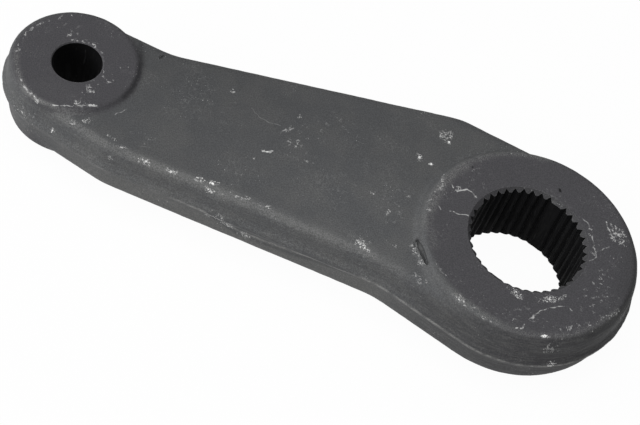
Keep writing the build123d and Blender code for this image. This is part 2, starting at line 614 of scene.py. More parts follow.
        dull = sheet.ramp(sheet.grain, 0.3, 0.7, 0.62, 0.8)
        worn_smooth = sheet.ramp(bright, 0.0, 1.0, 0.0, -0.12)
        sheet.put(sheet.shader.inputs["Roughness"], sheet.math("ADD", dull, worn_smooth))
        sheet.shader.inputs["Specular IOR Level"].default_value = self.gloss
        sheet.put(sheet.shader.inputs["Normal"], self.relief(sheet, bright))
        return sheet.material


@dataclass(frozen=True)
class BoreShadeCoat:
    """Painted shade on the broached and reamed walls of the bores: dry phosphate made near-black."""

    # Painted shade: the bore walls are near-black.
    black: Colour = (0.004, 0.004, 0.0045, 1.0)
    scuffed: Colour = (0.05, 0.05, 0.052, 1.0)
    rubbed_edge: float = 0.16
    gloss: float = 0.08

    def material(self) -> bpy.types.Material:
        """Builds the finish.

        Returns:
            The procedural material.
        """
        sheet = NodeSheet("bore_shade_coat")
        drawn = sheet.noise(900.0, 3.0, 0.65, sheet.stretched(1.0, 1.0, 0.12))
        colour = sheet.blend(sheet.ramp(drawn, 0.58, 0.74, 0.0, 0.5), self.black, self.scuffed)
        edge = sheet.ramp(sheet.evenness(self.rubbed_edge), 0.99, 0.88, 0.0, 0.55)
        sheet.put(sheet.shader.inputs["Base Color"], sheet.blend(edge, colour, self.scuffed))
        sheet.put(sheet.shader.inputs["Roughness"], sheet.ramp(drawn, 0.3, 0.7, 0.72, 0.9))
        sheet.shader.inputs["Specular IOR Level"].default_value = self.gloss
        return sheet.material


@dataclass
class WearPainter:
    """Paints worn patches and lines, with painted highlight and painted shade, on a piece's points.

    Args:
        patches: Places where the coat is worn.
        lines: Scratches, rubbed edges with painted highlight, and lines of painted shade.
        patch_depth: How far a patch reaches up and down, in millimetres.
        patch_edge: Reach where a patch has faded out, as a share of its size.
        line_edge: The same for a line.
        fine_reach: How far from a thin line the mesh is refined, in millimetres.
        fine_cuts: How many cuts each edge there gets.
        thin_line: Lines narrower than this are refined.
        wander: How far a line strays from its points, in millimetres.
        bore_centre: The big eye's middle in the axes of the marks, in millimetres.
        arm_turn: Turn between the arm's axes and those of the marks, in degrees.
    """

    patches: tuple[WornPatch, ...]
    lines: tuple[WornLine, ...]
    patch_depth: float = 3.0
    patch_edge: float = 1.3
    line_edge: float = 1.4
    fine_reach: float = 0.75
    fine_cuts: int = 3
    thin_line: float = 0.7
    wander: float = 0.16
    bore_centre: tuple[float, float] = (-0.19, -0.66)
    arm_turn: float = 0.255

    def paint(self, piece: bpy.types.Object) -> None:
        """Refines the piece along its thin lines and paints all its wear."""
        self.refine(piece)
        places = self.read(piece.data.vertices, "co")
        for wear in Wear:
            amount = np.zeros(len(places))
            for patch in self.patches:
                if patch.wear is wear:
                    amount = np.maximum(amount, self.patch_mask(patch, places))
            for line in self.lines:
                if line.wear is wear:
                    amount = np.maximum(amount, self.line_mask(line, places))
            layer = piece.data.attributes.new(wear.value, "FLOAT", "POINT")
            layer.data.foreach_set("value", amount.astype(np.float32))

    def read(self, rows: bpy.types.bpy_prop_collection, name: str) -> np.ndarray:
        """Reads places of a mesh, turned into the axes that the marks are measured in.

        Args:
            rows: The mesh's vertices or faces.
            name: The property that holds each one's place.

        Returns:
            One row of X, Y and Z in millimetres for each.
        """
        flat = np.zeros(len(rows) * 3)
        rows.foreach_get(name, flat)
        x, y, z = (flat.reshape(-1, 3) / MM).T
        turn = math.radians(self.arm_turn)
        across, along = math.sin(turn), math.cos(turn)
        return np.stack(
            (
                x * along - y * across + self.bore_centre[0],
                x * across + y * along + self.bore_centre[1],
                z,
            ),
            axis=1,
        )

    def patch_mask(self, patch: WornPatch, places: np.ndarray) -> np.ndarray:
        """How worn each point is by one patch.

        Args:
            patch: The worn patch.
            places: Points in millimetres.

        Returns:
            One value from 0 to the patch's strength for each point.
        """
        turn = math.radians(patch.turn)
        x, y, z = (places - (patch.x, patch.y, patch.z)).T
        along = (x * math.cos(turn) + y * math.sin(turn)) / patch.length
        across = (y * math.cos(turn) - x * math.sin(turn)) / patch.width
        reach = np.sqrt(along**2 + across**2 + (z / self.patch_depth) ** 2)
        fade = np.clip(self.patch_edge - reach, 0.0, 1.0)
        return patch.strength * fade * fade * (3.0 - 2.0 * fade)

    def line_mask(self, line: WornLine, places: np.ndarray) -> np.ndarray:
        """How worn each point is by one line."""
        fade = np.clip(self.line_edge - self.gap(line, places) / line.width, 0.0, 1.0)
        return line.strength * fade

    def gap(self, line: WornLine, places: np.ndarray) -> np.ndarray:
        """Distance from each point to a line that wanders a little, in millimetres."""
        x, y, z = places.T
        sway = np.stack(
            (np.sin(2.3 * y + 0.9 * x), np.sin(1.9 * x - 1.3 * y + 1.0), 0.0 * z), axis=1
        )
        swayed = places + self.wander * sway
        nearest = np.full(len(places), np.inf)
        for start, end in zip(line.points, line.points[1:]):
            first = np.array(start)
            along = np.array(end) - first
            share = np.clip((swayed - first) @ along / (along @ along), 0.0, 1.0)
            offset = swayed - first - share[:, None] * along
            nearest = np.minimum(nearest, np.linalg.norm(offset, axis=1))
        return nearest

    def refine(self, piece: bpy.types.Object) -> None:
        """Subdivides the faces that a thin scratch or line of painted shade crosses."""
        centres = self.read(piece.data.polygons, "center")
        crossed = np.zeros(len(centres), dtype=bool)
        for line in self.lines:
            if line.width < self.thin_line and line.wear in (Wear.SCRATCHED, Wear.PAINTED_SHADE):
                crossed |= self.gap(line, centres) < self.fine_reach
        pick(piece)
        bpy.ops.object.mode_set(mode="EDIT")
        bpy.ops.mesh.select_mode(type="FACE")
        bpy.ops.mesh.select_all(action="DESELECT")
        bpy.ops.object.mode_set(mode="OBJECT")
        piece.data.polygons.foreach_set("select", crossed)
        bpy.ops.object.mode_set(mode="EDIT")
        bpy.ops.mesh.subdivide(number_cuts=self.fine_cuts)
        bpy.ops.object.mode_set(mode="OBJECT")


@dataclass
class ArmForging:
    """The forged body: CAD form with a forging's soft skin, then machined again.

    Sizes are in millimetres and angles in degrees.

    Args:
        node: Name of the CAD node that this piece stands for.
    """

    node: str = "pitman_arm"
    # Machined levels and places
    thickness: float = 26.9
    arm_length: float = 148.2
    eye_top: float = 26.86
    small_eye_top: float = 25.36
    underside: float = 0.04
    eye_reach: float = 42.0
    small_eye_reach: float = 24.0
    facing_depth: float = 6.0
    face_step: float = 0.9
    # Blank forging, before its bores are cut
    plug_radius: float = 20.6
    small_plug_radius: float = 8.6
    small_plug_height: float = 25.4
    skin_voxel: float = 0.66
    skin_stand: float = 0.12
    skin_unevenness: float = 0.22
    small_unevenness: float = 0.077
    # Trimmed flash, which dips along the near flank
    parting_height: float = 15.4
    flash_half_width: float = 1.6
    flash_stand: float = 0.2
    flash_unevenness: float = 0.4
    flash_dip: float = 4.4
    near_flank: float = 10.0
    dip_start: float = 95.0
    dip_fall: float = 13.0
    climb_start: float = 78.0
    climb_length: float = 40.0
    # Tapered serrated bore
    serration_positions: int = 40
    blind_spacing: int = 10
    blind_tooth_angle: float = -17.8
    root_radius_top: float = 18.7
    root_radius_underside: float = 19.3
    serration_depth: float = 1.05
    tooth_tip_flat: float = 0.7
    bevel_width: float = 0.36
    bevel_depth: float = 0.31
    bore_overcut: float = 1.0
    # Ball stud's tapered hole
    stud_radius_top: float = 7.8
    stud_radius_underside: float = 6.21
    stud_bevel: float = 0.4
    stud_overcut: float = 0.5
    # Gouge beside the big eye and nick by the small one
    dents: tuple[Dent, ...] = (
        Dent((28.6, 18.3, 25.3), (4.9, 0.75, 1.6), 126.0),
        Dent((30.9, 16.8, 24.7), (2.6, 0.5, 0.7), 122.0),
        Dent((126.0, -14.9, 24.3), (1.3, 0.5, 0.5), 60.0),
    )
    smooth_angle: float = 28.0
    wall_tilt: float = 0.55
    wall_margin: float = 0.1
    piece: bpy.types.Object | None = field(default=None, repr=False)

    def build(self) -> bpy.types.Object:
        """Makes the finished piece.

        Returns:
            The forged arm's object, at the origin.
        """
        self.copy_frame()
        self.plug_bores()
        self.soften_skin()
        self.roughen_skin()
        self.face_eyes()
        self.cut_dents()
        carve(self.piece, self.broach())
        self.bevel_bore()
        carve(self.piece, self.stud_reamer())
        pick(self.piece)
        bpy.ops.object.shade_smooth_by_angle(angle=math.radians(self.smooth_angle))
        return self.piece

    def copy_frame(self) -> None:
        """Copies the CAD node and merges its loose triangles."""
        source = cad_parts[self.node]
        self.piece = bpy.data.objects.new("forged_arm", source.data.copy())
        bpy.context.scene.collection.objects.link(self.piece)
        self.piece.data.materials.clear()
        pick(self.piece)
        bpy.ops.object.mode_set(mode="EDIT")
        bpy.ops.mesh.select_all(action="SELECT")
        bpy.ops.mesh.remove_doubles(threshold=0.002 * MM)
        bpy.ops.object.mode_set(mode="OBJECT")
        bpy.ops.mesh.customdata_custom_splitnormals_clear()

    def plug_bores(self) -> None:
        """Fills both bores, because the forging is blank until it is machined."""
        for x, radius, top in (
            (0.0, self.plug_radius, self.thickness),
            (self.arm_length, self.small_plug_radius, self.small_plug_height),
        ):
            bpy.ops.mesh.primitive_cylinder_add(
                vertices=96, radius=radius * MM, depth=top * MM, location=(x * MM, 0.0, top * MM / 2)
            )
            plug = bpy.context.object
            apply_place(plug)
            deselect_all()
            plug.select_set(True)
            self.piece.select_set(True)
            bpy.context.view_layer.objects.active = self.piece
            bpy.ops.object.join()

    def soften_skin(self) -> None:
        """Rebuilds the surface as an even, soft-edged skin."""
        skin = self.piece.modifiers.new("skin", "REMESH")
        skin.mode = "VOXEL"
        skin.voxel_size = self.skin_voxel * MM
        apply_modifier(self.piece, skin)
        smooth = self.piece.modifiers.new("smooth", "SMOOTH")
        smooth.factor = 0.5
        smooth.iterations = 2
        apply_modifier(self.piece, smooth)

    def weigh(self, name: str, weight: Callable[[Vector], float], steps: int = 20) -> None:
        """Gives each vertex a weight from its place.

        Args:
            name: Name of the vertex group.
            weight: Takes a place in millimetres and returns 0 to 1.
            steps: How many different weights there are.
        """
        group = self.piece.vertex_groups.new(name=name)
        chosen: dict[int, list[int]] = {}
        for vertex in self.piece.data.vertices:
            step = round(min(1.0, max(0.0, weight(vertex.co / MM))) * steps)
            if step:
                chosen.setdefault(step, []).append(vertex.index)
        for step, indices in chosen.items():
            group.add(indices, step / steps, "REPLACE")

    def dip_at(self, x: float) -> float:
        """How far the flash of the near flank lies below the parting plane."""
        fall = min(1.0, max(0.0, (self.dip_start - x) / self.dip_fall))
        climb = min(1.0, max(0.0, (self.climb_start - x) / self.climb_length))
        return self.flash_dip * (
            fall * fall * (3.0 - 2.0 * fall) - climb * climb * (3.0 - 2.0 * climb)
        )

    def on_flash(self, place: Vector) -> float:
        """How near a place is to the trimmed flash, 1 on it and 0 beside it."""
        height = self.parting_height
        if place.y >= self.near_flank:
            height -= self.dip_at(place.x)
        return 1.0 - abs(place.z - height) / self.flash_half_width

    def displace(self, name: str, group: str, amount: float) -> bpy.types.Modifier:
        """Adds a modifier that moves a vertex group along its normals.

        Args:
            name: The modifier's name.
            group: The vertex group that it moves.
            amount: How far, in millimetres.

        Returns:
            The modifier, not applied yet.
        """
        move = self.piece.modifiers.new(name, "DISPLACE")
        move.vertex_group = group
        move.strength = amount * MM
        return move

    def roughen_skin(self) -> None:
        """Stands the skin out a little and sinks it here and there, most along the flash."""
        self.weigh("forged_skin", lambda place: 1.0)
        self.weigh("flash_line", self.on_flash)
        for name, group, amount in (
            ("skin_stand", "forged_skin", self.skin_stand),
            ("flash_stand", "flash_line", self.flash_stand),
        ):
            swell = self.displace(name, group, amount)
            swell.mid_level = 0.0
            apply_modifier(self.piece, swell)
        for name, group, size, amount, basis in (
            ("broad", "forged_skin", 9.0, self.skin_unevenness, "ORIGINAL_PERLIN"),
            ("small", "forged_skin", 2.6, self.small_unevenness, "BLENDER_ORIGINAL"),
            ("trim", "flash_line", 4.2, self.flash_unevenness, "BLENDER_ORIGINAL"),
        ):
            texture = bpy.data.textures.new(f"{name}_unevenness", "CLOUDS")
            texture.noise_scale = size * MM
            texture.noise_basis = basis
            dent = self.displace(name, group, amount)
            dent.texture = texture
            dent.texture_coords = "LOCAL"
            dent.mid_level = 1.0
            apply_modifier(self.piece, dent)

    def facing_cutter(self, x: float, reach: float, level: float, rise: float) -> bpy.types.Object:
        """A block whose lower or upper face machines an eye flat.

        Args:
            x: Its centre along the arm.
            reach: Half its width.
            level: Height of the face that cuts.
            rise: How far it stands up from that face, or down where negative.

        Returns:
            The cutter's object, with a fine grid on the face that cuts.
        """
        deselect_all()
        steps = round(2 * reach / self.face_step)
        bpy.ops.mesh.primitive_grid_add(
            x_subdivisions=steps,
            y_subdivisions=steps,
            size=2 * reach * MM,
            location=(x * MM, 0.0, level * MM),
        )
        cutter = bpy.context.object
        bpy.ops.object.mode_set(mode="EDIT")
        bpy.ops.mesh.select_all(action="SELECT")
        raise_up(rise)
        close_outwards()
        apply_place(cutter)
        return cutter

    def face_eyes(self) -> None:
        """Machines the eye tops and the underside flat."""
        for x, reach, level, rise in (
            (0.0, self.eye_reach, self.eye_top, self.facing_depth),
            (self.arm_length, self.small_eye_reach, self.small_eye_top, self.facing_depth),
            (0.0, self.eye_reach, self.underside, -self.facing_depth),
            (self.arm_length, self.small_eye_reach, self.underside, -self.facing_depth),
        ):
            carve(self.piece, self.facing_cutter(x, reach, level, rise))

    def cut_dents(self) -> None:
        """Cuts the dents that knocks left in the forging."""
        for dent in self.dents:
            bpy.ops.mesh.primitive_ico_sphere_add(subdivisions=3, radius=MM)
            cutter = bpy.context.object
            cutter.scale = dent.size
            cutter.rotation_euler = (0.0, 0.0, math.radians(dent.turn))
            cutter.location = [c * MM for c in dent.place]
            apply_place(cutter)
            carve(self.piece, cutter)

    def serrated_ring(self, root_radius: float, height: float) -> list[Vector]:
        """Corner points of the serrated bore at one height.

        Args:
            root_radius: Radius at the bottom of the grooves.
            height: Height of the ring.

        Returns:
            The ring's points in metres, three to a position.
        """
        pitch = 2 * math.pi / self.serration_positions
        tip_radius = root_radius - self.serration_depth
        groove_half = pitch / 2 - self.tooth_tip_flat / 2 / tip_radius
        ring = []
        for position in range(self.serration_positions):
            angle = math.radians(self.blind_tooth_angle) + position * pitch
            blind = position % self.blind_spacing == 0
            half = pitch / 2 if blind else groove_half
            middle = tip_radius if blind else root_radius
            for turn, radius in ((-half, tip_radius), (0.0, middle), (half, tip_radius)):
                x = radius * math.cos(angle + turn)
                y = radius * math.sin(angle + turn)
                ring.append(Vector((x, y, height)) * MM)
        return ring

    def broach(self) -> bpy.types.Object:
        """The tapered serrated cutter of the big eye's bore."""
        low, high = -self.bore_overcut, self.thickness + self.bore_overcut
        grow = (self.root_radius_top - self.root_radius_underside) / self.thickness
        bottom = self.serrated_ring(self.root_radius_underside + grow * low, low)
        top = self.serrated_ring(self.root_radius_underside + grow * high, high)
        deselect_all()
        bpy.ops.mesh.primitive_circle_add(
            vertices=len(bottom), radius=self.root_radius_top * MM, fill_type="NGON"
        )
        broach = bpy.context.object
        bpy.ops.object.mode_set(mode="EDIT")
        sheet = bmesh.from_edit_mesh(broach.data)
        sheet.verts.ensure_lookup_table()
        for vertex, place in zip(sheet.verts, bottom):
            vertex.co = place
        bmesh.update_edit_mesh(broach.data)
        bpy.ops.mesh.select_all(action="SELECT")
        raise_up(high - low)
        sheet = bmesh.from_edit_mesh(broach.data)
        middle = (low + high) / 2 * MM
        for vertex in sheet.verts:
            if vertex.co.z > middle:
                vertex.co = min(top, key=lambda place: (place - vertex.co).length)
        bmesh.update_edit_mesh(broach.data)
        close_outwards()
        return broach

    def bevel_bore(self) -> None:
        """Bevels both mouths of the serrated bore, which cuts the tooth ends."""
        slope = self.bevel_depth / self.bevel_width
        for height, root, way in (
            (self.eye_top, self.root_radius_top, 1),
            (self.underside, self.root_radius_underside, -1),
        ):
            mouth = root + self.bevel_width + self.bore_overcut / slope
            depth = mouth * slope
            bpy.ops.mesh.primitive_cone_add(
                vertices=180,
                radius1=0.0 if way > 0 else mouth * MM,
                radius2=mouth * MM if way > 0 else 0.0,
                depth=depth * MM,
                location=(0.0, 0.0, (height + way * (self.bore_overcut - depth / 2)) * MM),
            )
            sink = bpy.context.object
            apply_place(sink)
            carve(self.piece, sink)

    def turned_cutter(self, x: float, rings: tuple[tuple[float, float], ...]) -> bpy.types.Object:
        """A closed shape turned about an upright axis.

        Args:
            x: Place of the axis along the arm.
            rings: Radius and height of each ring, from the lowest up.

        Returns:
            The cutter's object.
        """
        deselect_all()
        bpy.ops.mesh.primitive_circle_add(
            vertices=120,
            radius=rings[0][0] * MM,
            fill_type="NGON",
            location=(x * MM, 0.0, rings[0][1] * MM),
        )
        cutter = bpy.context.object
        apply_place(cutter)
        bpy.ops.object.mode_set(mode="EDIT")
        bpy.ops.mesh.select_all(action="SELECT")
        for (radius, height), (next_radius, next_height) in zip(rings, rings[1:]):
            raise_up(next_height - height)
            sheet = bmesh.from_edit_mesh(cutter.data)
            for vertex in sheet.verts:
                if vertex.select:
                    vertex.co.x = x * MM + (vertex.co.x - x * MM) * next_radius / radius
                    vertex.co.y *= next_radius / radius
            bmesh.update_edit_mesh(cutter.data)
        close_outwards()
        return cutter

    def stud_reamer(self) -> bpy.types.Object:
        """The cutter of the ball stud's tapered hole and its bevelled rims."""
        flare = self.stud_bevel + self.stud_overcut
        rings = (
            (self.stud_radius_underside + flare, self.underside - self.stud_overcut),
            (self.stud_radius_underside, self.underside + self.stud_bevel),
            (self.stud_radius_top, self.small_eye_top - self.stud_bevel),
            (self.stud_radius_top + flare, self.small_eye_top + self.stud_overcut),
        )
        return self.turned_cutter(self.arm_length, rings)

    def bore_walls(self) -> np.ndarray:
        """Which faces are walls of a bore, without the bevels at their mouths."""
        faces = self.piece.data.polygons
        flat = np.zeros(len(faces) * 3)
        faces.foreach_get("center", flat)
        x, y, _ = (flat.reshape(-1, 3) / MM).T
        faces.foreach_get("normal", flat)
        upright = np.abs(flat.reshape(-1, 3)[:, 2]) < self.wall_tilt
        shaft = np.hypot(x, y) < self.root_radius_underside + self.wall_margin
        stud = np.hypot(x - self.arm_length, y) < self.stud_radius_top + self.wall_margin
        return upright & (shaft | stud)

    def dress(self, finish: PhosphatedForging, bore_shade_coat: BoreShadeCoat) -> None:
        """Gives the piece its finishes and its place in the frame.

        Args:
            finish: The coat of the forging.
            bore_shade_coat: The coat inside both bores, near-black as painted shade.
        """
        self.piece.data.materials.clear()
        self.piece.data.materials.append(finish.material())
        self.piece.data.materials.append(bore_shade_coat.material())
        self.piece.data.polygons.foreach_set("material_index", self.bore_walls().astype(np.int32))
        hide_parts(self.node)
        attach(self.piece, "root")


@dataclass(frozen=True)
class SoftLamp:
    """A square soft lamp that faces the arm.

    Args:
        name: The lamp's name.
        place: Its place in metres.
        power: Its power in watts.
    """

    name: str
    place: Place
    power: float


@dataclass
class Studio:
    """White floor, soft lamps and the camera, placed as for the photograph, in metres."""

    camera_place: Place = (0.0448125, 0.2679343, 0.3747672)
    camera_right: Place = (-0.927601, -0.323356, 0.187073)
    camera_up: Place = (0.371619, -0.747588, 0.550466)
    lens: float = 81.142
    sensor: float = 36.0
    nearest_seen: float = 0.01
    white: Colour = (1.0, 1.0, 1.0, 1.0)
    floor_paint: Colour = (0.8, 0.8, 0.8, 1.0)
    floor_roughness: float = 0.9
    floor_size: float = 6.0
    floor_centre: Place = (0.07, 0.0, 0.0)
    floor_glow: float = 0.965
    surround_light: float = 0.18
    panel_size: float = 0.8
    lit_place: Place = (0.07, 0.0, 0.01)
    lamps: tuple[SoftLamp, ...] = (
        SoftLamp("key_panel", (0.866, 0.796, 0.66), 10.0),
        SoftLamp("side_panel", (1.196, 0.0, 0.66), 5.0),
        SoftLamp("top_panel", (0.09, 0.0, 1.31), 7.5),
    )

    def build(self) -> None:
        """Makes the floor, the world, the lamps and the camera."""
        self.add_floor()
        self.add_world()
        for lamp in self.lamps:
            self.add_lamp(lamp)
        self.add_camera()

    def add_floor(self) -> None:
        """Lays a white floor that keeps a faint shadow."""
        deselect_all()
        bpy.ops.mesh.primitive_plane_add(size=self.floor_size, location=self.floor_centre)
        floor = bpy.context.object
        floor.name = "studio_floor"
        apply_place(floor)
        sheet = NodeSheet("studio_white")
        sheet.shader.inputs["Base Color"].default_value = self.floor_paint
        sheet.shader.inputs["Roughness"].default_value = self.floor_roughness
        path = sheet.nodes.new("ShaderNodeLightPath").outputs
        seen = sheet.strongest(
            path["Is Camera Ray"], path["Is Glossy Ray"], path["Is Transmission Ray"]
        )
        glow = sheet.nodes.new("ShaderNodeEmission")
        glow.inputs["Color"].default_value = self.white
        glow.inputs["Strength"].default_value = 1.0
        mix = sheet.nodes.new("ShaderNodeMixShader")
        sheet.put(mix.inputs["Fac"], sheet.product(seen, self.floor_glow))
        sheet.links.new(sheet.shader.outputs["BSDF"], mix.inputs[1])
        sheet.links.new(glow.outputs["Emission"], mix.inputs[2])
        sheet.links.new(mix.outputs["Shader"], sheet.output.inputs["Surface"])
        sheet.material.cycles.emission_sampling = "NONE"
        floor.data.materials.append(sheet.material)

    def add_world(self) -> None:
        """White surroundings for the camera, dimmer as a light."""
        world = bpy.data.worlds.new("studio_surround")
        bpy.context.scene.world = world
        world.use_nodes = True
        nodes = world.node_tree.nodes
        links = world.node_tree.links
        nodes.clear()
        mix = nodes.new("ShaderNodeMixShader")
        path = nodes.new("ShaderNodeLightPath")
        links.new(path.outputs["Is Camera Ray"], mix.inputs["Fac"])
        for strength, socket in ((self.surround_light, mix.inputs[1]), (1.0, mix.inputs[2])):
            background = nodes.new("ShaderNodeBackground")
            background.inputs["Color"].default_value = self.white
            background.inputs["Strength"].default_value = strength
            links.new(background.outputs["Background"], socket)
        output = nodes.new("ShaderNodeOutputWorld")
        links.new(mix.outputs["Shader"], output.inputs["Surface"])

    def add_lamp(self, lamp: SoftLamp) -> None:
        """Hangs one soft lamp and aims it at the arm."""
        light = bpy.data.lights.new(lamp.name, "AREA")
        light.shape = "SQUARE"
        light.size = self.panel_size
        light.energy = lamp.power
        panel = bpy.data.objects.new(lamp.name, light)
        bpy.context.scene.collection.objects.link(panel)
        panel.location = lamp.place
        aim = Vector(self.lit_place) - Vector(lamp.place)
        panel.rotation_euler = aim.to_track_quat("-Z", "Y").to_euler()

    def add_camera(self) -> None:
        """Sets up the camera of the photograph."""
        data = bpy.data.cameras.new("photo_camera")
        data.lens = self.lens
        data.sensor_width = self.sensor
        data.sensor_fit = "HORIZONTAL"
        data.clip_start = self.nearest_seen
        camera = bpy.data.objects.new("photo_camera", data)
        bpy.context.scene.collection.objects.link(camera)
        right = Vector(self.camera_right).normalized()
        up = Vector(self.camera_up).normalized()
        turn = Matrix((right, up, right.cross(up))).transposed()
        camera.matrix_world = Matrix.Translation(self.camera_place) @ turn.to_4x4()
        bpy.context.scene.camera = camera


